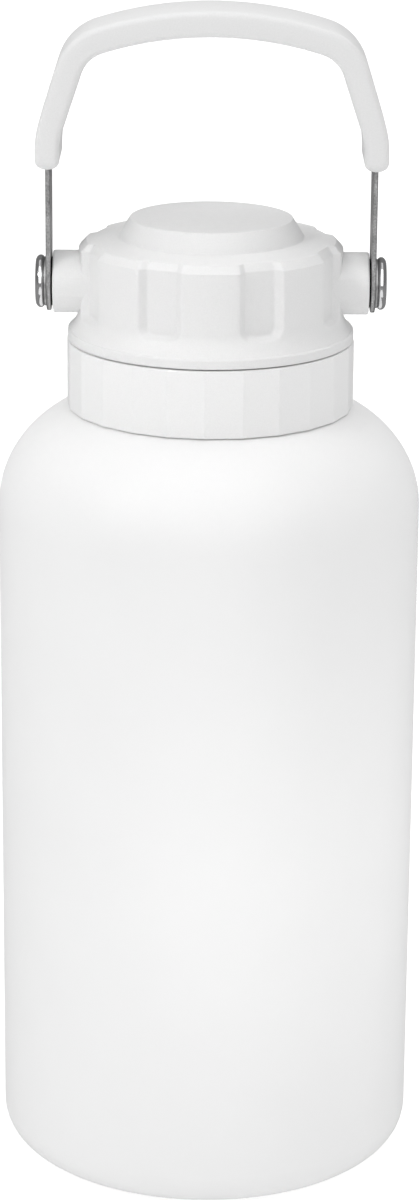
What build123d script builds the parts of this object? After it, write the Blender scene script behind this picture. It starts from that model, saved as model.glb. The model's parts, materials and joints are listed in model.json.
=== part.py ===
from build123d import *

import os
from math import acos, cos, degrees, radians, sin, sqrt

# Insulated drinking bottle with a faceted collar, a screw cap with two side lugs, and a steel bail
# with a moulded grip. Millimetres, +Z up, origin at the centre of the base pad's underside. The two
# lugs lie on the X axis, and the bail stands upright in the XZ plane.

# --- driving dimensions ---

body_radius = 60.0
wall_straight_top = 195.0
base_corner = 9.5
shell_wall = 0.8
vacuum_gap = 3.0
liner_wall = 0.7
pad_step = 0.4

shoulder_centre_r = 23.86
shoulder_rise = 31.9

neck_radius = 34.5
neck_bore = 31.9
neck_top = 238.5

collar_vertex_r = 40.5
collar_facets = 24
collar_bottom = 223.9
collar_top = 243.0
collar_deck = 239.6
collar_thread_root = 36.6
collar_lead = 6.0

spout_radius = 25.0
spout_bore = 22.0
spout_top = 261.6
lid_lead = 5.0
lid_thread_root = 26.9

lip_radius = 40.26
lid_bottom = 243.4
knob_radius = 37.0
knob_chamfer = 2.0
knob_foot = 252.5
knob_wall_top = 269.0
knob_rim = 271.1
knob_inner_r = 33.0
groove_count = 8
groove_depth = 2.2
lid_top = 277.46
raised_top_r = 22.63
cup_ceiling = 263.4
cup_wall = 2.0

pivot_z = 258.9
lug_radius = 8.77
lug_end = 44.25
lug_root = 33.5
insert_r = 3.9
insert_length = 8.0

strap_width = 16.4
strap_thickness = 1.25
strap_inner_x = 44.75
shoulder_screw_r = 3.0
running_fit = 0.08

grip_depth = 24.0
grip_thickness = 7.2
grip_edge_r = 2.4
grip_bottom = 292.2
arch_height = 332.65

face_gap = 0.03

# --- dimensions worked out from those ---

liner_radius = body_radius - shell_wall - vacuum_gap
liner_bottom = pad_step + 2 * shell_wall + vacuum_gap + 1.0
shoulder_reach = body_radius - shoulder_centre_r
strap_x = strap_inner_x + strap_thickness / 2
strap_outer_x = strap_inner_x + strap_thickness
screw_washer_x = strap_outer_x + face_gap
head_x = screw_washer_x + 0.62


def revolved(outline):
    """A solid of revolution about Z from a closed outline in the XZ plane (x is the radius)."""
    return revolve(Plane.XZ * make_face(outline), Axis.Z)


def polygon_ring(points):
    """A solid of revolution from (radius, z) corners joined by straight lines."""
    return revolved(Polyline(*points, close=True))


def tube(inner_r, outer_r, low_z, high_z):
    """A plain ring about Z."""
    return polygon_ring([(inner_r, low_z), (outer_r, low_z), (outer_r, high_z), (inner_r, high_z)])


def thread(root_r, crest_r, root_width, crest_width, lead, start_z, turns):
    """One right-hand helical ridge with a trapezoid section, sunk a little into its root."""
    sink = 0.3 if crest_r > root_r else -0.3
    line = Helix(lead, lead * turns, root_r, center=(0, 0, start_z))
    section = Polyline(
        (root_r - sink, start_z - root_width / 2),
        (crest_r, start_z - crest_width / 2),
        (crest_r, start_z + crest_width / 2),
        (root_r - sink, start_z + root_width / 2),
        close=True,
    )
    return sweep(Plane.XZ * make_face(section), path=line, is_frenet=True)


def both_sides(shape):
    """The shape on the +X side and its mirror image on the -X side."""
    return shape, mirror(shape, Plane.YZ)


def shoulder_z(radius, inset=0.0):
    """Height of the elliptical shoulder at a radius, for a surface inset into the wall."""
    share = (radius - shoulder_centre_r) / (shoulder_reach - inset)
    return wall_straight_top + (shoulder_rise - inset) * sqrt(1 - share**2)


# --- bottle ---


def shoulder_arc(end_r, inset=0.0):
    """The shoulder's quarter ellipse, from the straight wall up to the neck radius."""
    reach = shoulder_reach - inset
    rise = shoulder_rise - inset
    end_angle = degrees(acos((end_r - shoulder_centre_r) / reach))
    return EllipticalCenterArc((shoulder_centre_r, wall_straight_top), reach, rise, arc_size=end_angle)


def make_outer_shell():
    """Powder-coated outer wall: foot ring, base corner, straight wall and shoulder up to the neck."""
    foot_inner = 44.0
    outer_corner = RadiusArc(
        (body_radius - base_corner, pad_step), (body_radius, pad_step + base_corner), -base_corner
    )
    inner_corner_r = base_corner - shell_wall
    inner_corner = RadiusArc(
        (body_radius - base_corner, pad_step + shell_wall),
        (body_radius - shell_wall, pad_step + base_corner),
        -inner_corner_r,
    )
    outside = shoulder_arc(neck_radius + face_gap)
    inside = shoulder_arc(neck_radius + face_gap, shell_wall)
    outline = [
        Line((foot_inner, pad_step), outer_corner @ 0),
        outer_corner,
        Line(outer_corner @ 1, outside @ 0),
        outside,
        Line(outside @ 1, inside @ 1),
        inside,
        Line(inside @ 0, inner_corner @ 1),
        inner_corner,
        Line(inner_corner @ 0, (foot_inner, pad_step + shell_wall)),
        Line((foot_inner, pad_step + shell_wall), (foot_inner, pad_step)),
    ]
    return revolved(outline)


def make_inner_liner():
    """Steel inner vessel, with a flat floor, its own shoulder and the neck's bore."""
    neck_outer = neck_bore + liner_wall
    inset = body_radius - liner_radius
    corner = 12.0
    outer_corner = RadiusArc(
        (liner_radius - corner, liner_bottom), (liner_radius, liner_bottom + corner), -corner
    )
    inner_corner = RadiusArc(
        (liner_radius - corner, liner_bottom + liner_wall),
        (liner_radius - liner_wall, liner_bottom + corner),
        -(corner - liner_wall),
    )
    outside = shoulder_arc(neck_outer, inset)
    inside = shoulder_arc(neck_bore, inset + liner_wall)
    outline = [
        Line((0, liner_bottom), outer_corner @ 0),
        outer_corner,
        Line(outer_corner @ 1, outside @ 0),
        outside,
        Line(outside @ 1, (neck_outer, neck_top)),
        Line((neck_outer, neck_top), (neck_bore, neck_top)),
        Line((neck_bore, neck_top), inside @ 1),
        inside,
        Line(inside @ 0, inner_corner @ 1),
        inner_corner,
        Line(inner_corner @ 0, (0, liner_bottom + liner_wall)),
        Line((0, liner_bottom + liner_wall), (0, liner_bottom)),
    ]
    return revolved(outline)


def make_threaded_neck():
    """Steel neck ring between the two walls, with the thread that takes the collar."""
    inner = neck_bore + liner_wall + face_gap
    edge = 0.5
    foot = shoulder_z(neck_radius, shell_wall) - 0.5
    ring = polygon_ring(
        [
            (inner, foot),
            (neck_radius, foot),
            (neck_radius, neck_top - edge),
            (neck_radius - edge, neck_top),
            (inner, neck_top),
        ]
    )
    thread_height = 1.5
    thread_start = 229.0
    return ring + thread(neck_radius, neck_radius + thread_height, 2.6, 1.4, collar_lead, thread_start, 1.1)


def make_outer_base():
    """Steel disc that closes the outer wall from inside, with the hole it is evacuated through."""
    low = pad_step + shell_wall
    return tube(3.0, 47.0, low, low + shell_wall)


def make_vacuum_plug():
    """Solder plug that seals the evacuation hole."""
    low = pad_step + shell_wall
    return polygon_ring([(0, low), (3.0, low), (3.0, low + shell_wall), (2.0, low + 1.4), (0, low + 1.6)])


def make_getter():
    """Gas-absorbing pellet in its small dish, on top of the base disc."""
    low = pad_step + 2 * shell_wall
    return Pos(22, 0, low) * Cylinder(6, 1.4, align=(Align.CENTER, Align.CENTER, Align.MIN))


def make_base_pad():
    """Anti-slip pad in the foot's recess, with ring grooves underneath."""
    pad_r = 43.7
    pad = tube(0, pad_r, 0, pad_step + shell_wall)
    for ring_r in (14.0, 24.0, 34.0):
        pad -= tube(ring_r, ring_r + 1.6, 0, 0.3)
    return pad


# --- collar ---


def make_spout_collar():
    """Faceted ring that screws on the neck, with a deck across the top and the drinking spout."""
    clearance_top = shoulder_z(collar_thread_root) + 0.4
    facet_start = -2.0 - 90.0
    prism = Pos(0, 0, collar_bottom) * extrude(
        Rot(0, 0, facet_start) * RegularPolygon(collar_vertex_r, collar_facets), collar_top - collar_bottom
    )
    ends = prism.edges().group_by(Axis.Z)
    prism = fillet(ends[0] + ends[-1], 0.45)
    socket = polygon_ring(
        [
            (0, collar_bottom - 1),
            (collar_vertex_r + 1, collar_bottom - 1),
            (collar_vertex_r - 0.7, collar_bottom),
            (collar_thread_root, clearance_top),
            (collar_thread_root, collar_deck - 1.0),
            (collar_thread_root - 1.0, collar_deck),
            (0, collar_deck),
        ]
    )
    rim = 0.7
    spout = polygon_ring(
        [
            (spout_bore, collar_deck),
            (spout_radius, collar_deck),
            (spout_radius, spout_top - rim),
            (spout_radius - rim, spout_top),
            (spout_bore + rim, spout_top),
            (spout_bore, spout_top - rim),
        ]
    )
    bore = Pos(0, 0, collar_deck) * Cylinder(spout_bore, 30, align=(Align.CENTER, Align.CENTER, Align.MIN))
    ring = prism - socket - bore + spout
    neck_thread_start = 227.0
    spout_thread_start = 249.6
    crest = collar_thread_root - 1.6
    ring += thread(collar_thread_root, crest, 2.6, 1.4, collar_lead, neck_thread_start, 1.1)
    ring += thread(spout_radius, spout_radius + 1.4, 2.2, 1.2, lid_lead, spout_thread_start, 1.2)
    return ring


def make_collar_gasket():
    """Silicone ring between the neck's lip and the collar's deck."""
    return tube(neck_bore + 0.2, neck_radius - 0.1, neck_top + face_gap, collar_deck - face_gap)


# --- lid ---


def lid_outline():
    """Closed half section of the lid moulding, skirt, cove, knob, raised top and its hollow inside."""
    lip_edge = 0.65
    lip_height = 2.75
    lip_top = lid_bottom + lip_height
    seat_r = 37.6
    top_wall = 2.56
    cove_foot = (lip_radius - lip_edge, lip_top)
    wall_foot = (knob_radius, knob_foot)
    rim = (knob_radius - knob_chamfer, knob_rim)
    raised_foot = (26.0, 272.1)
    raised_edge = (raised_top_r, lid_top)
    middle = (0, lid_top - 0.25)
    lip = RadiusArc((lip_radius, lip_top - lip_edge), cove_foot, -lip_edge)
    cove = RadiusArc(cove_foot, wall_foot, 8.9)
    top = Spline(raised_edge, middle, tangents=((-1, -0.02), (-1, 0)))
    hollow = [
        middle,
        (0, lid_top - top_wall),
        (raised_top_r - 2.0, lid_top - top_wall),
        (24.2, 269.7),
        (knob_inner_r - 1.0, knob_wall_top - 0.1),
        (knob_inner_r, knob_wall_top - 1.1),
        (knob_inner_r, 248.4),
        (seat_r, 244.9),
        (seat_r, lid_bottom),
    ]
    return [
        Line((seat_r, lid_bottom), (lip_radius, lid_bottom)),
        Line((lip_radius, lid_bottom), lip @ 0),
        lip,
        cove,
        Polyline(wall_foot, (knob_radius, knob_wall_top), rim, raised_foot, raised_edge),
        top,
        Polyline(*hollow),
    ]


def groove_cutter():
    """One finger groove of the knob on the +X side: an upright slot with sloped walls and a U bottom."""
    floor_r = knob_radius - groove_depth
    floor_width = 9.5
    floor_low = 251.0
    corner = 2.4
    length = 28.0
    sunk = 0.3
    facing_out = Plane((floor_r - sunk, 0, floor_low + length / 2), x_dir=(0, 1, 0), z_dir=(1, 0, 0))
    slot = extrude(facing_out * RectangleRounded(floor_width, length, corner), 5.0, taper=-37)
    kept = [
        (0, 240),
        (floor_r, 240),
        (floor_r, knob_wall_top),
        (floor_r - 1.5, knob_rim + 0.05),
        (0, knob_rim + 1.1),
    ]
    return slot - polygon_ring(kept)


def make_lid_shell():
    """Knob, skirt and the two side lugs in one moulding."""
    shell = revolved(lid_outline())
    for lug in both_sides(Pos(lug_root, 0, pivot_z) * lug_solid()):
        shell += lug
    cutter = groove_cutter()
    for index in range(groove_count):
        shell -= Rot(0, 0, (index + 0.5) * 360 / groove_count) * cutter
    pocket_end = lug_end - insert_length - 0.25
    drill = Cylinder(insert_r, 20, align=(Align.CENTER, Align.CENTER, Align.MIN))
    hole = Pos(pocket_end, 0, pivot_z) * along_x(drill)
    for pocket in both_sides(hole):
        shell -= pocket
    return shell


def along_x(shape):
    """Turns a shape that stands along Z so that it points along +X."""
    return Rot(0, 90, 0) * shape


def lug_solid():
    """One lug, a round boss along +X with a small edge rounding at its free end."""
    length = lug_end - lug_root
    boss = Cylinder(lug_radius, length, align=(Align.CENTER, Align.CENTER, Align.MIN))
    return along_x(fillet(boss.edges().group_by(Axis.Z)[-1], 0.7))


def make_lid_liner():
    """Inner cup of the lid, with the thread that takes the spout and a flange against the shell."""
    outer_r = 30.0
    flange_r = knob_inner_r - 0.05
    mouth = 244.6
    flange_top = 250.2
    cup_top = cup_ceiling + cup_wall
    cup = polygon_ring(
        [
            (lid_thread_root, mouth),
            (flange_r, mouth + 3.9),
            (flange_r, flange_top),
            (outer_r, flange_top),
            (outer_r, cup_top - 1.0),
            (outer_r - 1.0, cup_top),
            (0, cup_top),
            (0, cup_ceiling),
            (lid_thread_root, cup_ceiling),
        ]
    )
    thread_start = 247.9
    return cup + thread(lid_thread_root, lid_thread_root - 1.4, 2.2, 1.2, lid_lead, thread_start, 1.1)


def make_lid_gasket():
    """Silicone ring in the top of the cup, sealing on the spout's rim."""
    return tube(spout_bore - 0.1, spout_radius + 0.6, spout_top + face_gap, cup_ceiling - face_gap)


def make_lid_insulation():
    """Foam disc that fills the space between the cup and the raised top."""
    low = cup_ceiling + cup_wall + 0.1
    high = lid_top - 2.66
    return polygon_ring([(0, low), (24.0, low), (24.0, 269.5), (20.5, high), (0, high)])


def make_insert():
    """Brass threaded insert on the +X side, pressed into the lug."""
    standing = (Align.CENTER, Align.CENTER, Align.MIN)
    ring = Cylinder(insert_r, insert_length, align=standing) - Cylinder(2.5, insert_length, align=standing)
    for height in (2.4, 5.2):
        ring -= Pos(0, 0, height) * (Cylinder(insert_r + 0.3, 0.5) - Cylinder(insert_r - 0.3, 0.5))
    return Pos(lug_end - insert_length, 0, pivot_z) * along_x(ring)


# --- bail ---


def disc_x(inner_r, outer_r, low_x, high_x):
    """A flat ring about the pivot axis, between two x positions."""
    ring = polygon_ring([(inner_r, low_x), (outer_r, low_x), (outer_r, high_x), (inner_r, high_x)])
    return Pos(0, 0, pivot_z) * along_x(ring)


def make_inner_washer():
    """Plastic washer between the lug and the strap."""
    return disc_x(shoulder_screw_r + 0.05, 6.8, lug_end, strap_inner_x - face_gap)


def make_outer_washer():
    """Steel washer under the screw's head."""
    return disc_x(shoulder_screw_r + 0.05, 6.9, screw_washer_x, head_x)


def make_screw():
    """Shoulder screw on the +X side: threaded end, shoulder as the pivot, low pan head, hex socket."""
    head_r = 7.38
    head_height = 2.6
    face_r = 5.3
    widest = head_x + 1.0
    back = RadiusArc((head_r - 0.9, head_x), (head_r, widest), -1.0)
    shoulder = RadiusArc((head_r, widest), (face_r, head_x + 2.4), -2.3)
    face = RadiusArc((face_r, head_x + 2.4), (0, head_x + head_height), -70.0)
    outline = [
        Polyline((0, lug_end - 7.0), (2.0, lug_end - 7.0), (2.5, lug_end - 6.5), (2.5, lug_end)),
        Polyline((2.5, lug_end), (shoulder_screw_r, lug_end), (shoulder_screw_r, head_x)),
        Line((shoulder_screw_r, head_x), back @ 0),
        back,
        shoulder,
        face,
        Line(face @ 1, (0, lug_end - 7.0)),
    ]
    screw = revolved(outline)
    socket_across = 4.0
    socket = extrude(RegularPolygon(socket_across / 2, 6, major_radius=False), 2.0)
    screw -= Pos(0, 0, head_x + head_height - 1.6) * socket
    return Pos(0, 0, pivot_z) * along_x(screw)


def bail_line(start_z):
    """The bail's centre line: up one leg, leaning in, round a corner, over the shallow arch and down."""
    lean = 18.0
    leg_bend_r = 26.0
    corner_r = 12.6
    arch_r = 104.0
    arch_half = 17.4
    corner_turn = 90.0 - lean - arch_half

    arch_x = arch_r * sin(radians(arch_half))
    arch_z = arch_height - arch_r * (1 - cos(radians(arch_half)))
    corner_x = arch_x + corner_r * (cos(radians(lean)) - sin(radians(arch_half)))
    corner_z = arch_z - corner_r * (cos(radians(arch_half)) - sin(radians(lean)))
    bend_x = strap_x - leg_bend_r * (1 - cos(radians(lean)))
    arm_length = (bend_x - corner_x) / sin(radians(lean))
    bend_z = corner_z - arm_length * cos(radians(lean)) - leg_bend_r * sin(radians(lean))

    leg = Line((-strap_x, start_z), (-strap_x, bend_z))
    bend = JernArc(leg @ 1, (0, 1), leg_bend_r, -lean)
    arm = Line(bend @ 1, (bend @ 1) + (bend % 1) * arm_length)
    corner = JernArc(arm @ 1, arm % 1, corner_r, -corner_turn)
    arch = JernArc(corner @ 1, corner % 1, arch_r, -2 * arch_half)
    left = Curve() + [leg, bend, arm, corner]
    whole = left + arch + mirror(left, Plane.YZ)
    return Plane.XZ * Wire(whole.edges())


def make_bail_strap():
    """Bent flat steel strap, with a rounded eye and a screw hole at each end."""
    start_z = pivot_z - strap_width / 2 - 1.0
    section = Pos(-strap_x, 0, start_z) * Rectangle(strap_thickness, strap_width)
    strap = sweep(section, path=bail_line(start_z))
    below = Box(6, 40, 30, align=(Align.CENTER, Align.CENTER, Align.MAX))
    eye = Rot(0, 90, 0) * Cylinder(strap_width / 2, 8)
    hole = Rot(0, 90, 0) * Cylinder(shoulder_screw_r + running_fit, 8)
    for sign in (-1, 1):
        strap -= Pos(sign * strap_x, 0, pivot_z) * (below - eye + hole)
    return strap


def make_handle_grip():
    """Moulded grip over the top of the strap, an even rounded bar with rounded leg ends."""
    section = Pos(-strap_x, 0, grip_bottom) * RectangleRounded(grip_thickness, grip_depth, grip_edge_r)
    bar = sweep(section, path=bail_line(grip_bottom))
    ends = bar.faces().filter_by(Axis.Z).group_by(Axis.Z)[0].edges()
    bar = fillet(ends, grip_edge_r - 0.3)
    channel = Pos(-strap_x, 0, grip_bottom - 1) * Rectangle(strap_thickness, strap_width)
    return bar - sweep(channel, path=bail_line(grip_bottom - 1))


def build_parts():
    """Every node by name."""
    parts = {
        "outer_shell": make_outer_shell(),
        "inner_liner": make_inner_liner(),
        "threaded_neck": make_threaded_neck(),
        "outer_base": make_outer_base(),
        "vacuum_plug": make_vacuum_plug(),
        "getter": make_getter(),
        "base_pad": make_base_pad(),
        "spout_collar": make_spout_collar(),
        "collar_gasket": make_collar_gasket(),
        "lid_shell": make_lid_shell(),
        "lid_liner": make_lid_liner(),
        "lid_gasket": make_lid_gasket(),
        "lid_insulation": make_lid_insulation(),
        "bail_strap": make_bail_strap(),
        "handle_grip": make_handle_grip(),
    }
    pairs = {
        "insert": make_insert(),
        "inner_washer": make_inner_washer(),
        "outer_washer": make_outer_washer(),
        "pivot_screw": make_screw(),
    }
    for name, shape in pairs.items():
        right, left = both_sides(shape)
        parts["right_" + name] = right
        parts["left_" + name] = left
    return parts


def main():
    os.makedirs("parts", exist_ok=True)
    for name, shape in build_parts().items():
        export_step(shape, f"parts/{name}.step")


main()
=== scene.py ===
import json
from math import cos, hypot, pi, radians, sin, sqrt, tan

import bpy
import bmesh
from mathutils import Matrix, Vector


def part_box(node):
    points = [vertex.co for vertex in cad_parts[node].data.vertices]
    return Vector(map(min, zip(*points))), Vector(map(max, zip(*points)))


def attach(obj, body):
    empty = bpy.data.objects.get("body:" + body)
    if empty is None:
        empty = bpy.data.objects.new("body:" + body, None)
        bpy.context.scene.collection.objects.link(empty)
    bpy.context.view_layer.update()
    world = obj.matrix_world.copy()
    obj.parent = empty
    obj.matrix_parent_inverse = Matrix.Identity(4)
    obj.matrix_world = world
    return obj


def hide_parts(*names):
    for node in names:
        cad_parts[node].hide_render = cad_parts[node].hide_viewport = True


# Looks of an insulated bottle: white powder-coated body, faceted collar, scalloped screw cap and a steel
# bail with a moulded grip. Everything is in metres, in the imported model's frame; mm turns millimetres
# into metres.

mm = 0.001
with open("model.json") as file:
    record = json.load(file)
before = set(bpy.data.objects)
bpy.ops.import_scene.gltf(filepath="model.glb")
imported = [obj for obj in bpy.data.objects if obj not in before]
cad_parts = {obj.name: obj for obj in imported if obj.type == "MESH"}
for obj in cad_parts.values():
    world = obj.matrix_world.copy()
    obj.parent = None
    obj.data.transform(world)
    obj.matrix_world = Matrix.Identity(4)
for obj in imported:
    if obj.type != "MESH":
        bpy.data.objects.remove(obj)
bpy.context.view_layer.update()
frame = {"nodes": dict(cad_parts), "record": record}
nodes = frame["nodes"]


# --- camera ---

camera_place = Vector((0.32, -979.4, 474.64)) * mm
camera_pitch = radians(17.53)
camera_roll = radians(0.462)
camera_lens = 106.71


def make_camera():
    """A long lens in front of the bottle, a little above it and looking down."""
    data = bpy.data.cameras.new("camera")
    data.sensor_width = 36.0
    data.sensor_fit = "AUTO"
    data.lens = camera_lens
    data.clip_end = 50.0
    camera = bpy.data.objects.new("camera", data)
    tilt = Matrix.Rotation(pi / 2 - camera_pitch, 4, "X")
    camera.matrix_world = Matrix.Translation(camera_place) @ tilt @ Matrix.Rotation(camera_roll, 4, "Z")
    bpy.context.scene.collection.objects.link(camera)
    bpy.context.scene.camera = camera


# --- mesh helpers ---


def corner_arc(before, corner, after, radius, steps):
    """Points of the arc that rounds one corner of an outline."""
    a = (Vector(before) - Vector(corner)).normalized()
    b = (Vector(after) - Vector(corner)).normalized()
    half = a.angle(b) / 2
    reach = radius / tan(half)
    centre = Vector(corner) + (a + b).normalized() * (radius / sin(half))
    start = Vector(corner) + a * reach - centre
    end = Vector(corner) + b * reach - centre
    turn = start.angle_signed(end)
    return [centre + Matrix.Rotation(-turn * k / steps, 2) @ start for k in range(steps + 1)]


def rounded_outline(corners, steps=4):
    """An outline of (radius, height, rounding) corners in millimetres, as a list of points."""
    points = []
    for index, (r, z, rounding) in enumerate(corners):
        inside = 0 < index < len(corners) - 1
        if rounding and inside:
            before, after = corners[index - 1][:2], corners[index + 1][:2]
            points += corner_arc(before, (r, z), after, rounding, steps)
        else:
            points.append(Vector((r, z)))
    return points


def arc_points(start, end, radius, steps):
    """Points after start up to end along a circular arc whose centre is on the chord's left."""
    start, end = Vector(start), Vector(end)
    chord = end - start
    middle = (start + end) / 2
    normal = Vector((-chord.y, chord.x)).normalized()
    centre = middle + normal * sqrt(radius**2 - (chord.length / 2) ** 2)
    first, last = start - centre, end - centre
    turn = first.angle_signed(last)
    return [centre + Matrix.Rotation(-turn * k / steps, 2) @ first for k in range(1, steps + 1)]


def even_angles(count):
    """Evenly spaced azimuths round a full turn."""
    return [2 * pi * k / count for k in range(count)]


def lathe(name, outline, angles, closed=False, shift=None):
    """A closed mesh of revolution about Z from (radius, height) points in millimetres.

    An outline that isn't closed starts and ends on the axis. shift(r, z, angle) gives each point's own
    radius where the shape isn't quite round.
    """
    mesh = bmesh.new()
    rows = []
    for r, z in outline:
        if r < 1e-6:
            rows.append([mesh.verts.new((0, 0, z * mm))])
            continue
        ring = []
        for angle in angles:
            own = shift(r, z, angle) if shift else r
            ring.append(mesh.verts.new((own * cos(angle) * mm, own * sin(angle) * mm, z * mm)))
        rows.append(ring)
    pairs = list(zip(rows, rows[1:]))
    if closed:
        pairs.append((rows[-1], rows[0]))
    count = len(angles)
    for low, high in pairs:
        for k in range(count):
            after = (k + 1) % count
            if len(low) == 1:
                mesh.faces.new((low[0], high[after], high[k]))
            elif len(high) == 1:
                mesh.faces.new((low[k], low[after], high[0]))
            else:
                mesh.faces.new((low[k], low[after], high[after], high[k]))
    return finish_mesh(name, mesh)


def finish_mesh(name, mesh):
    """Turns a bmesh into a smooth-shaded object with outward normals."""
    bmesh.ops.recalc_face_normals(mesh, faces=mesh.faces)
    data = bpy.data.meshes.new(name)
    mesh.to_mesh(data)
    mesh.free()
    for face in data.polygons:
        face.use_smooth = True
    piece = bpy.data.objects.new(name, data)
    bpy.context.scene.collection.objects.link(piece)
    return piece


def sharpen(piece, degrees):
    """Marks edges sharper than an angle, so that smooth shading doesn't run over them."""
    piece.data.set_sharp_from_angle(angle=radians(degrees))


def apply_boolean(piece, tool, operation):
    """Unites, or cuts, the piece with a tool mesh, and removes the tool."""
    modifier = piece.modifiers.new("join", "BOOLEAN")
    modifier.operation = operation
    modifier.solver = "EXACT"
    modifier.object = tool
    evaluated = piece.evaluated_get(bpy.context.evaluated_depsgraph_get())
    made = bpy.data.meshes.new_from_object(evaluated)
    piece.modifiers.remove(modifier)
    old = piece.data
    piece.data = made
    bpy.data.meshes.remove(old)
    bpy.data.objects.remove(tool)


def along_x(piece, centre_z, side):
    """Turns a piece made round Z so that it lies round the pivot axis, pointing out on one side."""
    turn = Matrix.Rotation(side * pi / 2, 4, "Y")
    piece.data.transform(Matrix.Translation((0, 0, centre_z)) @ turn)


def pivot_height(name):
    """Height of the bail's pivot on one side, in metres."""
    low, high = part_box(name + "_pivot_screw")
    return (low.z + high.z) / 2


def stands_for(piece, node, material):
    """The piece takes a CAD node's place, body and material slot."""
    body = next(b for b, members in frame["record"]["behaviour"]["bodies"].items() if node in members)
    piece.data.materials.clear()
    piece.data.materials.append(material)
    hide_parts(node)
    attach(piece, body)


# --- material helpers ---


class Shader:
    """A material's node tree with short ways to add and link nodes."""

    def __init__(self, name):
        self.material = bpy.data.materials.new(name)
        self.material.use_nodes = True
        self.tree = self.material.node_tree
        self.surface = self.tree.nodes["Principled BSDF"]
        self.place = self.tree.nodes.new("ShaderNodeTexCoord").outputs["Object"]

    def node(self, kind, **settings):
        """Adds a node and sets its own settings."""
        made = self.tree.nodes.new(kind)
        for key, value in settings.items():
            setattr(made, key, value)
        return made

    def link(self, source, target):
        """Joins an output to an input."""
        self.tree.links.new(source, target)

    def set(self, **values):
        """Sets constants on the surface shader; underscores in names stand for spaces."""
        for key, value in values.items():
            self.surface.inputs[key.replace("_", " ")].default_value = value

    def noise(self, size, detail=2.0, rough=0.5, stretch=None):
        """Noise whose features are about size metres across, optionally stretched along an axis."""
        place = self.place
        if stretch:
            mapping = self.node("ShaderNodeMapping")
            mapping.inputs["Scale"].default_value = stretch
            self.link(place, mapping.inputs["Vector"])
            place = mapping.outputs["Vector"]
        made = self.node("ShaderNodeTexNoise")
        made.inputs["Scale"].default_value = 1 / size
        made.inputs["Detail"].default_value = detail
        made.inputs["Roughness"].default_value = rough
        self.link(place, made.inputs["Vector"])
        return made.outputs["Fac"]

    def spread(self, value, low, high, start=0.3, end=0.7):
        """Maps a 0 to 1 value onto a narrower range."""
        made = self.node("ShaderNodeMapRange")
        made.inputs["From Min"].default_value = start
        made.inputs["From Max"].default_value = end
        made.inputs["To Min"].default_value = low
        made.inputs["To Max"].default_value = high
        self.link(value, made.inputs["Value"])
        return made.outputs["Result"]

    def blend_colours(self, factor, first, second):
        """Mixes two colours by a factor."""
        made = self.node("ShaderNodeMix", data_type="RGBA")
        self.link(factor, made.inputs["Factor"])
        made.inputs["A"].default_value = (*first, 1)
        made.inputs["B"].default_value = (*second, 1)
        return made.outputs["Result"]

    def worn_edges(self, radius):
        """0 on flat faces, rising towards 1 on convex edges."""
        bevel = self.node("ShaderNodeBevel", samples=4)
        bevel.inputs["Radius"].default_value = radius
        geometry = self.node("ShaderNodeNewGeometry")
        dot = self.node("ShaderNodeVectorMath", operation="DOT_PRODUCT")
        self.link(bevel.outputs["Normal"], dot.inputs[0])
        self.link(geometry.outputs["Normal"], dot.inputs[1])
        return self.spread(dot.outputs["Value"], 1.0, 0.0, 0.9, 1.0)

    def bump(self, height, depth, strength=1.0, under=None):
        """A bump of that depth in metres, laid over an earlier bump if one is given."""
        made = self.node("ShaderNodeBump")
        made.inputs["Strength"].default_value = strength
        made.inputs["Distance"].default_value = depth
        self.link(height, made.inputs["Height"])
        if under:
            self.link(under, made.inputs["Normal"])
        self.link(made.outputs["Normal"], self.surface.inputs["Normal"])
        return made.outputs["Normal"]


# --- materials ---

collar_top = 243.0 * mm
skirt_foot = 243.4 * mm


def grey(level):
    """A neutral colour of one lightness."""
    return (level, level, level)


def powder_coat():
    """White powder coat: a fine even orange peel with a soft satin gloss and the faintest mottling."""
    s = Shader("powder_coat")
    tone = s.spread(s.noise(24 * mm, 2), 0, 1)
    s.link(s.blend_colours(tone, grey(0.84), grey(0.85)), s.surface.inputs["Base Color"])
    s.link(s.spread(s.noise(4 * mm, 4), 0.46, 0.54), s.surface.inputs["Roughness"])
    peel = s.bump(s.noise(0.9 * mm, 2), 0.03 * mm, 0.5)
    s.bump(s.noise(0.25 * mm, 2), 0.012 * mm, 0.5, peel)
    return s.material


def white_plastic(name, light, grain, rough, painted_collar_light=0.0):
    """Satin white moulding with a fine spark-eroded grain and rubbed, slightly paler edges.

    The collar gain paints what lies below the cap's skirt a little whiter: painted light, standing in for
    the brighter light that falls on the collar.
    """
    s = Shader(name)
    speckle = s.spread(s.noise(grain, 3, 0.7), 0, 1)
    body = s.blend_colours(speckle, grey(light - 0.02), grey(light + 0.02))
    # Painted light: below the cap's skirt the colour is made whiter, for the brighter light the collar
    # catches.
    if painted_collar_light:
        parts = s.node("ShaderNodeSeparateXYZ")
        s.link(s.place, parts.inputs["Vector"])
        ring = s.node("ShaderNodeMix", data_type="RGBA", blend_type="ADD")
        s.link(s.spread(parts.outputs["Z"], painted_collar_light, 0.0, collar_top, skirt_foot), ring.inputs["Factor"])
        s.link(body, ring.inputs["A"])
        ring.inputs["B"].default_value = (1, 1, 1, 1)
        body = ring.outputs["Result"]
    worn = s.node("ShaderNodeMix", data_type="RGBA")
    s.link(s.worn_edges(0.35 * mm), worn.inputs["Factor"])
    s.link(body, worn.inputs["A"])
    worn.inputs["B"].default_value = (*grey(light + 0.05), 1)
    s.link(worn.outputs["Result"], s.surface.inputs["Base Color"])
    s.link(s.spread(s.noise(3 * mm, 4), rough - 0.04, rough + 0.06), s.surface.inputs["Roughness"])
    fine = s.bump(s.noise(grain, 3, 0.6), 0.03 * mm, 0.6)
    s.bump(s.noise(6 * mm, 1), 0.05 * mm, 0.25, fine)
    return s.material


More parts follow.
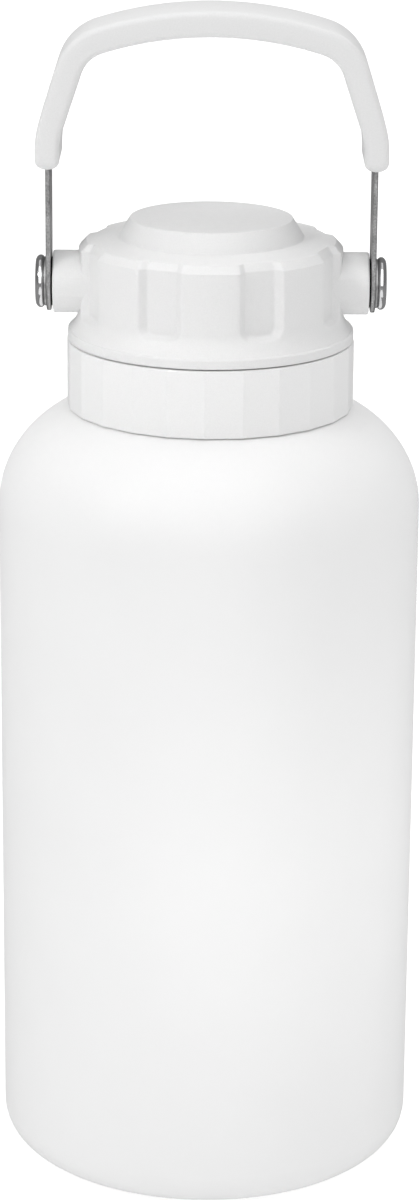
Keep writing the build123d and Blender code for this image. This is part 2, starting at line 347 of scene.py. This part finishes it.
def steel(name, tint, rough, grain=0.3 * mm, stretch=None, depth=0.006 * mm, dark_share=0.86):
    """Bare metal with fine grain and slight stains, whose darkest spots are dark_share of the tint."""
    s = Shader(name)
    dark = tuple(c * dark_share for c in tint)
    grain_value = s.noise(grain, 4, 0.65, stretch)
    stain = s.node("ShaderNodeMath", operation="MULTIPLY_ADD")
    s.link(s.noise(9 * mm, 4), stain.inputs[0])
    stain.inputs[1].default_value = 0.5
    half_grain = s.node("ShaderNodeMath", operation="MULTIPLY")
    half_grain.inputs[1].default_value = 0.5
    s.link(grain_value, half_grain.inputs[0])
    s.link(half_grain.outputs["Value"], stain.inputs[2])
    share = s.spread(stain.outputs["Value"], 0, 1)
    s.link(s.blend_colours(share, dark, tint), s.surface.inputs["Base Color"])
    s.set(Metallic=1.0)
    s.link(s.spread(grain_value, rough - 0.06, rough + 0.08), s.surface.inputs["Roughness"])
    s.bump(grain_value, depth, 0.6)
    return s.material


def plain_plastic(name, colour, rough, grain=0.6 * mm, shine=0.5):
    """Any other plastic or rubber, with slight mottling and grain; a low shine keeps it black."""
    s = Shader(name)
    dark = tuple(c * 0.9 for c in colour)
    s.link(s.blend_colours(s.spread(s.noise(6 * mm, 3), 0, 1), dark, colour), s.surface.inputs["Base Color"])
    s.link(s.spread(s.noise(2 * mm, 3), rough - 0.05, rough + 0.08), s.surface.inputs["Roughness"])
    s.set(Specular_IOR_Level=shine)
    s.bump(s.noise(grain, 3, 0.6), 0.03 * mm, 0.5)
    return s.material


def silicone():
    """Milky silicone rubber that lets a little light in."""
    s = Shader("silicone")
    s.link(
        s.blend_colours(s.spread(s.noise(5 * mm, 2), 0, 1), (0.74, 0.74, 0.72), (0.8, 0.8, 0.79)),
        s.surface.inputs["Base Color"],
    )
    s.link(s.spread(s.noise(2 * mm, 3), 0.45, 0.6), s.surface.inputs["Roughness"])
    s.set(Subsurface_Weight=0.2, Subsurface_Scale=1.5 * mm)
    s.bump(s.noise(0.8 * mm, 2), 0.02 * mm, 0.4)
    return s.material


def foam():
    """Pale cellular foam."""
    s = Shader("foam")
    s.link(
        s.blend_colours(s.spread(s.noise(2 * mm, 4), 0, 1), (0.72, 0.69, 0.6), (0.84, 0.81, 0.73)),
        s.surface.inputs["Base Color"],
    )
    s.link(s.spread(s.noise(1 * mm, 2), 0.8, 0.95), s.surface.inputs["Roughness"])
    s.bump(s.noise(1.0 * mm, 5, 0.7), 0.3 * mm, 0.8)
    return s.material


materials = {
    "powder_coat": powder_coat(),
    # The collar gain here is painted light: it whitens the collar below the skirt for the light it catches.
    "white_plastic": white_plastic("white_plastic", 0.76, 0.35 * mm, 0.42, painted_collar_light=0.07),
    "grip_plastic": white_plastic("grip_plastic", 0.75, 0.5 * mm, 0.46),
    "liner_plastic": white_plastic("liner_plastic", 0.72, 0.5 * mm, 0.5),
    "bare_steel": steel("bare_steel", grey(0.62), 0.3, 0.4 * mm, stretch=(1, 1, 12)),
    "solder": steel("solder", (0.45, 0.45, 0.44), 0.5, 0.8 * mm),
    "washer_steel": steel("washer_steel", grey(0.5), 0.32),
    "strap_steel": steel("strap_steel", grey(0.82), 0.36, 0.5 * mm, depth=0.03 * mm, dark_share=0.22),
    "polished_steel": steel(
        "polished_steel", (0.88, 0.88, 0.89), 0.10, 0.5 * mm, depth=0.002 * mm, dark_share=0.9
    ),
    "brass": steel("brass", (0.75, 0.52, 0.22), 0.3),
    "black_plastic": plain_plastic("black_plastic", (0.008, 0.008, 0.009), 0.55, shine=0.12),
    "pad": plain_plastic("pad", grey(0.62), 0.7),
    "silicone": silicone(),
    "foam": foam(),
}


def dress_nodes():
    """Gives every CAD node the material of its slot."""
    for entry in frame["record"]["subparts"]:
        piece = nodes[entry["node"]]
        piece.data.materials.clear()
        piece.data.materials.append(materials[entry["material_slot"]])


# --- lid: knob, skirt and lugs (millimetres; places are (radius, height) pairs) ---

disc_radius = 22.75
shelf = (26.0, 272.1)
rim = (35.0, 271.1)
knob_radius = 37.0
chamfer_foot = 269.0
cove_start = (knob_radius, 252.5)
cove_end = (39.6, 246.15)
cove_radius = 8.9
skirt_radius = 40.26
skirt_inner_radius = 37.6
hollow_radius = 33.0
lug_radius = 8.77
lug_root = 34.2
lug_bore_end = 36.0

groove_count = 8
groove_depth = 2.2
groove_mouth = {"half": 6.4, "bottom": 250.0, "corner": 3.4}
groove_floor = {"half": 4.75, "bottom": 251.0, "corner": 2.4}
groove_foot = 249.0
edge_softness = 0.28
chamfer_loss = 0.3
fade_width = 3.6


def soft_ramp(value, softness):
    """Zero below 0, the value itself above, with a rounded knee."""
    return (value + sqrt(value * value + softness**2)) / 2


def slot_distance(across, z, half, bottom, corner):
    """Distance outside a slot that is open at the top and has rounded bottom corners; negative inside."""
    side = abs(across) - (half - corner)
    below = (bottom + corner) - z
    return hypot(max(side, 0), max(below, 0)) + min(max(side, below), 0) - corner


def groove_amount(across, z):
    """How deep the groove is, from 0 at its mouth to 1 on its floor, at a distance from its middle line."""
    outside = slot_distance(across, z, **groove_mouth)
    wall = slot_distance(across, z, **groove_floor) - outside
    share, softness = -outside / wall, edge_softness / wall
    return soft_ramp(share, softness) - soft_ramp(share - 1, softness)


def groove_fade(r, z):
    """The groove runs full depth up the wall, shallower over the chamfer, and dies out on the shelf."""
    if z <= chamfer_foot:
        return 1.0
    if r >= rim[0] - 0.05:
        return 1.0 - chamfer_loss * (z - chamfer_foot) / (rim[1] - chamfer_foot)
    return (1.0 - chamfer_loss) * max(0.0, 1 - (rim[0] - r) / fade_width)


def knob_radius_at(r, z, angle):
    """The knob's radius, with its finger grooves pressed in and cut straight down into the cove."""
    if z < groove_foot or r < rim[0] - fade_width:
        return r
    pitch = 2 * pi / groove_count
    across = ((angle % pitch) - pitch / 2) * knob_radius
    depth = groove_depth * groove_fade(r, z) + max(r - knob_radius, 0)
    return r - depth * groove_amount(across, z)


def knob_angles():
    """Azimuths round the knob, close together at the grooves' sloped walls and wider apart elsewhere.

    They are set by their distances in millimetres, along the rim, from the nearest groove's middle line.
    """
    wall_steps = [4.0 + 0.2 * k for k in range(17)]
    half = [0.0, 1.3, 2.5, 3.4, *wall_steps, 7.6, 8.3, 9.5, 11.0, 12.7]
    across = sorted({-a for a in half} | set(half) | {-pi / groove_count * knob_radius})
    pitch = 2 * pi / groove_count
    return [k * pitch + pitch / 2 + a / knob_radius for k in range(groove_count) for a in across]


def lid_outline(low_z, high_z):
    """The lid's section from the top's middle, out over the knob, down the skirt and back up inside."""
    dished_middle = [(0, high_z - 0.2), (8.0, high_z - 0.18), (15.0, high_z - 0.12)]
    top_edge = rounded_outline(
        [
            (20.0, high_z - 0.08, 0),
            (disc_radius, high_z, 0.35),
            (*shelf, 0.5),
            (*rim, 0.35),
            (knob_radius, chamfer_foot, 0.35),
            (knob_radius, chamfer_foot - 2.0, 0),
        ]
    )
    # Rings across the shelf, closer together where the grooves fade out.
    before_rim = next(i for i, p in enumerate(top_edge) if p.x > rim[0] - 5.0)
    shelf_run = (rim[0] - shelf[0]) / (shelf[1] - rim[1])
    ring_radii = (29.0, 31.4, 32.2, 33.0, 33.8, 34.3)
    shelf_rings = [Vector((r, shelf[1] - (r - shelf[0]) / shelf_run)) for r in ring_radii]
    top_edge[before_rim:before_rim] = shelf_rings
    # Rings down the wall, closer together where the grooves' bottoms round off.
    wall = [Vector((knob_radius, z)) for z in (264.5, 262.0, 259.5, 257.5, 256.0)]
    wall += [Vector((knob_radius, 255.3 - 0.2 * k)) for k in range(15)]
    cove = arc_points(cove_start, cove_end, cove_radius, 34)
    skirt = rounded_outline(
        [
            (*cove_end, 0),
            (skirt_radius, cove_end[1], 0.55),
            (skirt_radius, low_z, 0.2),
            (skirt_inner_radius, low_z, 0.15),
            (skirt_inner_radius, 245.0, 0),
        ]
    )
    hollow = [(hollow_radius, 248.4), (hollow_radius, 267.9), (hollow_radius - 1.0, 268.9)]
    hollow += [(24.2, 269.7), (20.6, 274.9), (0, 274.9)]
    return [tuple(p) for p in [*dished_middle, *top_edge, *wall, *cove, *skirt[1:], *hollow]]


def make_lid():
    """The cap's shell in one piece: knob and skirt turned, and a lug joined on at each side."""
    low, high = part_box("lid_shell")
    pivot_z = pivot_height("right")
    knob = lathe("lid_shell_skin", lid_outline(low.z / mm, high.z / mm), knob_angles(), shift=knob_radius_at)
    lug_end = high.x / mm
    insert_r = (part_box("right_insert")[1].z - pivot_z) / mm
    for side in (-1, 1):
        corners = [(0, lug_root, 0), (lug_radius, lug_root, 0), (lug_radius, lug_end, 0.6)]
        corners += [(insert_r, lug_end, 0), (insert_r, lug_bore_end, 0), (0, lug_bore_end, 0)]
        lug = lathe("lug", [tuple(p) for p in rounded_outline(corners, 5)], even_angles(96))
        along_x(lug, pivot_z, side)
        apply_boolean(knob, lug, "UNION")
    sharpen(knob, 32)
    stands_for(knob, "lid_shell", materials["white_plastic"])


# --- bail: grip, strap and screws (millimetres) ---

strap_thickness = 1.25
grip_thickness = 7.2
leg_end_thickness = 6.7
thinner_stretch = 26.0
grip_edge = 1.7
end_round = 2.7
cap_steps = 10

screw_thread_r = 2.5
screw_shoulder_r = 3.0
socket_corner_r = 2.31
socket_depth = 1.6
rim_bulge = 1.1
washer_bore_r = 3.05
washer_edge = 0.12


def bail_line(start_z):
    """Centre line of the bail from the left leg over to the right one, as (point, heading, length along)."""
    leg_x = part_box("bail_strap")[1].x / mm - strap_thickness / 2
    lean, arch_half = radians(18.0), radians(17.4)
    bend_r, corner_r, arch_r = 26.0, 12.6, 104.0
    top_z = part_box("handle_grip")[1].z / mm - grip_thickness / 2
    arch = Vector((arch_r * sin(arch_half), top_z - arch_r * (1 - cos(arch_half))))
    corner = arch + corner_r * Vector((cos(lean) - sin(arch_half), sin(lean) - cos(arch_half)))
    bend_x = leg_x - bend_r * (1 - cos(lean))
    arm = (bend_x - corner.x) / sin(lean)
    bend_z = corner.y - arm * cos(lean) - bend_r * sin(lean)
    parts = [
        (bend_z - start_z, 0, 12),
        (bend_r * lean, -lean, 8),
        (arm, 0, 12),
        (corner_r * (pi / 2 - lean - arch_half), -(pi / 2 - lean - arch_half), 20),
        (arch_r * 2 * arch_half, -2 * arch_half, 48),
    ]
    parts += parts[3::-1]
    place, heading, along = Vector((-leg_x, start_z)), pi / 2, 0.0
    line = [(place.copy(), heading, along)]
    for length, turn, steps in parts:
        for _ in range(steps):
            step = length / steps
            middle_heading = heading + turn / steps / 2
            chord = step
            if turn:
                chord = step * sin(turn / steps / 2) / (turn / steps / 2)
            place = place + chord * Vector((cos(middle_heading), sin(middle_heading)))
            heading += turn / steps
            along += step
            line.append((place.copy(), heading, along))
    return line


def section_loop(half_thick, half_wide, rounding, steps=5):
    """A rounded rectangle as (across thickness, across width) points."""
    loop = []
    for sx, sy, start in ((1, 1, 0), (-1, 1, 90), (-1, -1, 180), (1, -1, 270)):
        for k in range(steps + 1):
            angle = radians(start + 90 * k / steps)
            loop.append(
                (
                    sx * (half_thick - rounding) + rounding * cos(angle),
                    sy * (half_wide - rounding) + rounding * sin(angle),
                )
            )
    return loop


def grip_half_thickness(along, total):
    """The grip is a little thinner near its two leg ends."""
    rise = min(1.0, min(along, total - along) / thinner_stretch)
    return (leg_end_thickness + (grip_thickness - leg_end_thickness) * rise) / 2


def grip_stations(line):
    """The grip's sections, as (length along the bail's line, how much the rounded end shrinks it)."""
    total = line[-1][2]
    quarter = [pi / 2 * k / cap_steps for k in range(cap_steps + 1)]
    caps = [(end_round * (1 - cos(angle)), end_round * (1 - sin(angle))) for angle in quarter]
    middle = [(along, 0.0) for _, _, along in line if end_round < along < total - end_round]
    return caps + middle + [(total - along, shrink) for along, shrink in reversed(caps)]


def make_grip():
    """A moulded bar along the bail's line, whose two ends round off like a pebble's."""
    low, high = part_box("handle_grip")
    line = bail_line(low.z / mm)
    total = line[-1][2]
    mesh = bmesh.new()
    rings = []
    for along, shrink in grip_stations(line):
        place, heading = point_on(line, along)
        across = Vector((sin(heading), -cos(heading)))
        half = grip_half_thickness(along, total) - shrink
        rounding = max(min(grip_edge + shrink * 0.3, half - 0.01), 0.02)
        ring = []
        for a, b in section_loop(half, high.y / mm - shrink, rounding):
            at = place + across * a
            ring.append(mesh.verts.new((at.x * mm, b * mm, at.y * mm)))
        rings.append(ring)
    count = len(rings[0])
    for near, far in zip(rings, rings[1:]):
        for k in range(count):
            mesh.faces.new((near[k], near[(k + 1) % count], far[(k + 1) % count], far[k]))
    mesh.faces.new(rings[0])
    mesh.faces.new(rings[-1])
    grip = finish_mesh("handle_grip_skin", mesh)
    stands_for(grip, "handle_grip", materials["grip_plastic"])


def point_on(line, along):
    """Place and heading at a length along the bail's line."""
    for (p0, h0, a0), (p1, h1, a1) in zip(line, line[1:]):
        if along <= a1:
            t = (along - a0) / (a1 - a0)
            return p0.lerp(p1, t), h0 + (h1 - h0) * t
    return line[-1][0], line[-1][1]


def soften_strap():
    """Rounds the strap's sheared edges over a little, as tumbling leaves them."""
    strap = nodes["bail_strap"]
    weld = strap.modifiers.new("weld", "WELD")
    weld.merge_threshold = 0.002 * mm
    bevel = strap.modifiers.new("soft_edges", "BEVEL")
    bevel.width = 0.3 * mm
    bevel.segments = 2
    bevel.limit_method = "ANGLE"
    bevel.angle_limit = radians(40)
    bevel.harden_normals = True


def screw_outline(head_r, tip, lug_end, seat, face):
    """A shoulder screw's section as (radius, distance out) points, from its tip to the head's crown."""
    widest = seat + rim_bulge
    shank = [(0, tip), (2.0, tip), (screw_thread_r, tip + 0.5), (screw_thread_r, lug_end)]
    shank += [(screw_shoulder_r, lug_end), (screw_shoulder_r, seat)]
    foot = (head_r - 1.0, seat)
    below, middle, above = (head_r - 0.04, widest - 0.4), (head_r, widest), (head_r - 0.06, widest + 0.4)
    rim_edge = (head_r - 1.9, face - 0.12)
    back = [foot, *arc_points(foot, below, 1.0, 6), *arc_points(below, middle, 2.2, 3)]
    front = arc_points(middle, above, 2.2, 3) + arc_points(above, rim_edge, 1.8, 8)
    crown = arc_points(rim_edge, (0, face), 82.0, 8)
    return [tuple(p) for p in shank + back + front + crown]


def make_screw(side, name):
    """A low domed shoulder screw with a hexagon socket."""
    low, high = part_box(name + "_pivot_screw")
    head_r = (high.z - low.z) / 2 / mm
    tip, face = sorted((abs(low.x) / mm, abs(high.x) / mm))
    seat = sorted(abs(v.x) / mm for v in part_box(name + "_outer_washer"))[1]
    lug_end = sorted(abs(v.x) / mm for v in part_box(name + "_inner_washer"))[0]
    outline = screw_outline(head_r, tip, lug_end, seat, face)
    screw = lathe(name + "_pivot_screw_skin", outline, even_angles(96))
    bottom, top = face - socket_depth, face + 1
    socket_wall = [(0, bottom), (socket_corner_r, bottom), (socket_corner_r, top), (0, top)]
    socket = lathe("socket", socket_wall, even_angles(6))
    apply_boolean(screw, socket, "DIFFERENCE")
    sharpen(screw, 35)
    along_x(screw, pivot_height(name), side)
    stands_for(screw, name + "_pivot_screw", materials["polished_steel"])


def make_washer(side, name, kind, material):
    """A flat washer with slightly rounded outer edges."""
    node = name + kind
    low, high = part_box(node)
    near, far = sorted((abs(low.x) / mm, abs(high.x) / mm))
    outer_r = (high.z - low.z) / 2 / mm
    corners = [(washer_bore_r, near, 0), (outer_r, near, washer_edge)]
    corners += [(outer_r, far, washer_edge), (washer_bore_r, far, 0)]
    ring = [tuple(p) for p in rounded_outline(corners, 3)]
    washer = lathe(node + "_skin", ring, even_angles(96), closed=True)
    sharpen(washer, 35)
    along_x(washer, pivot_height(name), side)
    stands_for(washer, node, material)


def make_screws():
    """On each side a pivot screw, a steel washer under its head and a plastic washer on the lug."""
    for side, name in ((1, "right"), (-1, "left")):
        make_screw(side, name)
        make_washer(side, name, "_outer_washer", materials["washer_steel"])
        make_washer(side, name, "_inner_washer", materials["black_plastic"])


# --- floor and light ---

# How the white studio shows: the floor's glow as it lights the bottle and as the lens sees it, and the
# greys of the floor and the dome as shiny surfaces see them.
floor_glow = 0.565
lens_glow = 0.65
mirror_floor = 0.2
mirror_dark = 0.17


def light_path(tree, kind):
    """1 for one kind of ray, such as those from the lens or those off a shiny surface, and 0 for others."""
    return tree.nodes.new("ShaderNodeLightPath").outputs[kind]


def make_floor():
    """A plain pale floor that the lens sees as white and that polished steel sees as grey."""
    s = Shader("floor_paper")
    tone = s.spread(s.noise(0.4, 2), 0, 1)
    seen = s.node("ShaderNodeMix", data_type="RGBA")
    s.link(light_path(s.tree, "Is Glossy Ray"), seen.inputs["Factor"])
    s.link(s.blend_colours(tone, grey(0.49), grey(0.51)), seen.inputs["A"])
    seen.inputs["B"].default_value = (*grey(mirror_floor), 1)
    s.link(seen.outputs["Result"], s.surface.inputs["Base Color"])
    s.link(s.spread(s.noise(0.05, 2), 0.85, 0.95), s.surface.inputs["Roughness"])
    s.set(Specular_IOR_Level=0.1, Emission_Color=(1, 1, 1, 1))
    glow = s.node("ShaderNodeMath", operation="SUBTRACT", use_clamp=True)
    s.link(s.spread(light_path(s.tree, "Is Camera Ray"), floor_glow, lens_glow, 0.0, 1.0), glow.inputs[0])
    s.link(s.spread(light_path(s.tree, "Is Glossy Ray"), 0.0, floor_glow, 0.0, 1.0), glow.inputs[1])
    s.link(glow.outputs["Value"], s.surface.inputs["Emission Strength"])
    half = 6.0
    data = bpy.data.meshes.new("floor")
    corners = [(-half, -half, 0), (half, -half, 0), (half, half, 0), (-half, half, 0)]
    data.from_pydata(corners, [], [(0, 1, 2, 3)])
    floor = bpy.data.objects.new("floor", data)
    data.materials.append(s.material)
    bpy.context.scene.collection.objects.link(floor)


def make_light(name, place, size, power, target=(0, 0, 0.2), spread=180, diffuse=True, glossy=True):
    """A soft panel aimed at the bottle; a narrow spread keeps its beam to one part of it."""
    data = bpy.data.lights.new(name, "AREA")
    data.shape = "RECTANGLE"
    data.size, data.size_y = size
    data.energy = power
    data.spread = radians(spread)
    lamp = bpy.data.objects.new(name, data)
    lamp.location = place
    lamp.rotation_euler = (Vector(target) - Vector(place)).to_track_quat("-Z", "Y").to_euler()
    lamp.visible_camera = False
    lamp.visible_diffuse = diffuse
    lamp.visible_glossy = glossy
    bpy.context.scene.collection.objects.link(lamp)


def make_world(ramps):
    """A dome of light, strongest overhead, that the lens sees as plain white and steel as dark grey.

    Each ramp is an axis, where along it the light starts, and the strength that it reaches at the far end.
    """
    world = bpy.data.worlds.new("studio")
    world.use_nodes = True
    tree = world.node_tree
    dome = tree.nodes["Background"]
    parts = tree.nodes.new("ShaderNodeSeparateXYZ")
    tree.links.new(tree.nodes.new("ShaderNodeTexCoord").outputs["Generated"], parts.inputs["Vector"])
    total = None
    for axis, start, strength in ramps:
        ramp = tree.nodes.new("ShaderNodeMapRange")
        ramp.inputs["From Min"].default_value = start
        ramp.inputs["From Max"].default_value = 1.0
        ramp.inputs["To Max"].default_value = strength
        tree.links.new(parts.outputs[axis], ramp.inputs["Value"])
        if total is None:
            total = ramp.outputs["Result"]
        else:
            added = tree.nodes.new("ShaderNodeMath")
            added.operation = "ADD"
            tree.links.new(total, added.inputs[0])
            tree.links.new(ramp.outputs["Result"], added.inputs[1])
            total = added.outputs["Value"]
    dome.inputs["Color"].default_value = (1, 1, 1, 1)
    tree.links.new(total, dome.inputs["Strength"])
    shader = dome.outputs["Background"]
    for kind, level in (("Is Glossy Ray", mirror_dark), ("Is Camera Ray", 1.0)):
        plain = tree.nodes.new("ShaderNodeBackground")
        plain.inputs["Color"].default_value = (*grey(level), 1)
        mixed = tree.nodes.new("ShaderNodeMixShader")
        tree.links.new(light_path(tree, kind), mixed.inputs["Fac"])
        tree.links.new(shader, mixed.inputs[1])
        tree.links.new(plain.outputs["Background"], mixed.inputs[2])
        shader = mixed.outputs["Shader"]
    tree.links.new(shader, tree.nodes["World Output"].inputs["Surface"])
    bpy.context.scene.world = world


def make_studio():
    """Panels for the whole bottle, narrow beams for one part of it, and cards that only reflections show."""
    make_world((("Z", 0.0, 1.40), ("Y", 0.0, 0.29), ("X", -1.0, 0.21)))
    make_floor()
    lid_middle, body_middle = (0, 0, 0.25), (0.015, 0, 0.1)
    make_light("high_panel", (-1.2, -0.9, 1.2), (0.4, 0.4), 5.4, lid_middle)
    make_light("ceiling_panel", (0.0, 0.2, 2.6), (1.8, 1.8), 5.2)
    make_light("lid_light", (-0.45, -0.55, 0.62), (0.12, 0.05), 0.0026, (0, 0, 0.24), 8, glossy=False)
    make_light("body_front_light", (0.25, -0.9, 0.10), (0.1, 0.08), 0.0042, body_middle, 12, glossy=False)
    make_light("body_right_light", (0.75, -0.45, 0.10), (0.1, 0.08), 0.0014, body_middle, 12, glossy=False)
    make_light("mirror_card", (0, -1.23, 1.28), (2.2, 2.6), 21, lid_middle, diffuse=False)
    make_light("floor_card", (0, -0.55, 0.004), (0.5, 0.7), 0.7, (0, -0.55, 1.0), diffuse=False)
    bpy.context.scene.view_settings.view_transform = "Standard"


make_camera()
dress_nodes()
make_lid()
make_grip()
soften_strap()
make_screws()
make_studio()
